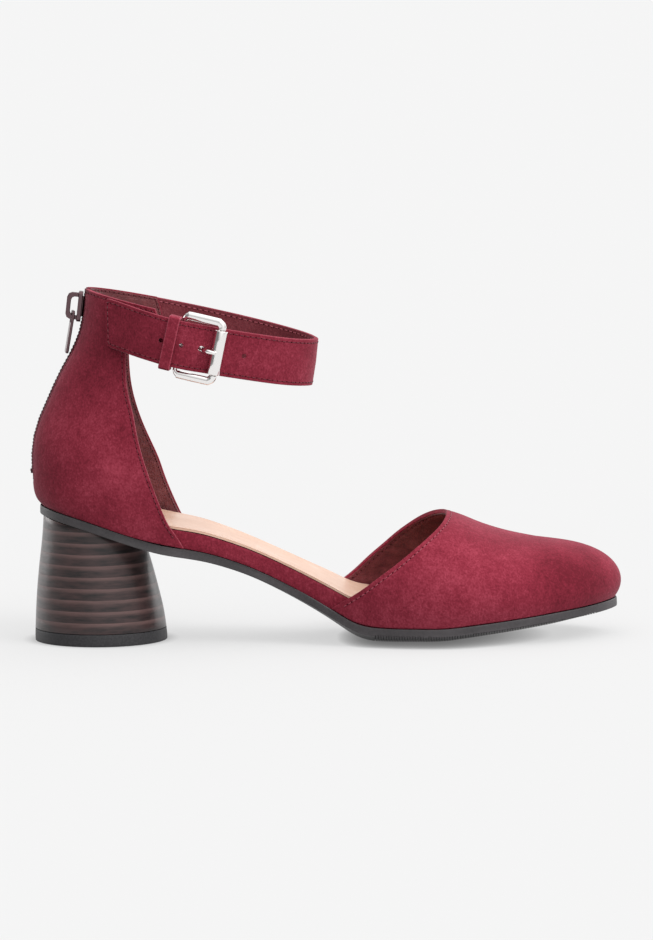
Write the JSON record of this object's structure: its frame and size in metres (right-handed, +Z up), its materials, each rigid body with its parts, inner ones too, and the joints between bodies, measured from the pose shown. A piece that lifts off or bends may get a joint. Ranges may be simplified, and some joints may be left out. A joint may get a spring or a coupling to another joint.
{
  "type": "pump shoe",
  "caption": "Women's right pump with closed round toe, open waist, high heel counter with back zip, buckled ankle strap and flared stacked block heel.",
  "frame": {"origin": "on the floor, under the middle of the shoe", "axes": "+X toward the toe, +Y toward the inner side of the foot, +Z up"},
  "size_m": [0.2482, 0.0854, 0.1485],
  "materials": {
    "suede": "burgundy faux suede, short nap",
    "silver": "polished silver plate",
    "heel_stack": "dark brown stacked layers, polished",
    "tip_black": "matt black top piece",
    "sock_tan": "smooth tan sock",
    "sole_black": "smooth black sole with a satin edge",
    "zip_dark": "dark burgundy woven tape and coil"
  },
  "bodies": {
    "shoe": {"ankle_strap": "suede", "buckle_frame": "silver", "buckle_prong": "silver", "buckle_roller": "silver", "buckle_tab": "suede", "footbed": "suede", "heel_block": "heel_stack", "heel_tip": "tip_black", "insole": "sock_tan", "keeper_loop": "suede", "outsole": "sole_black", "quarter": "suede", "vamp": "suede", "zip_slider": "silver", "zip_tape": "zip_dark"},
    "zip_pull": {"zip_pull": "silver"}
  },
  "joints": [
    {"name": "pull_hinge", "type": "hinge", "parent": "shoe", "child": "zip_pull", "pos_m": [-0.10547, 0.00047, 0.13844], "axis": [-0.1371, 0.9903, 0.0242], "range_deg": [0, 100]}
  ]
}
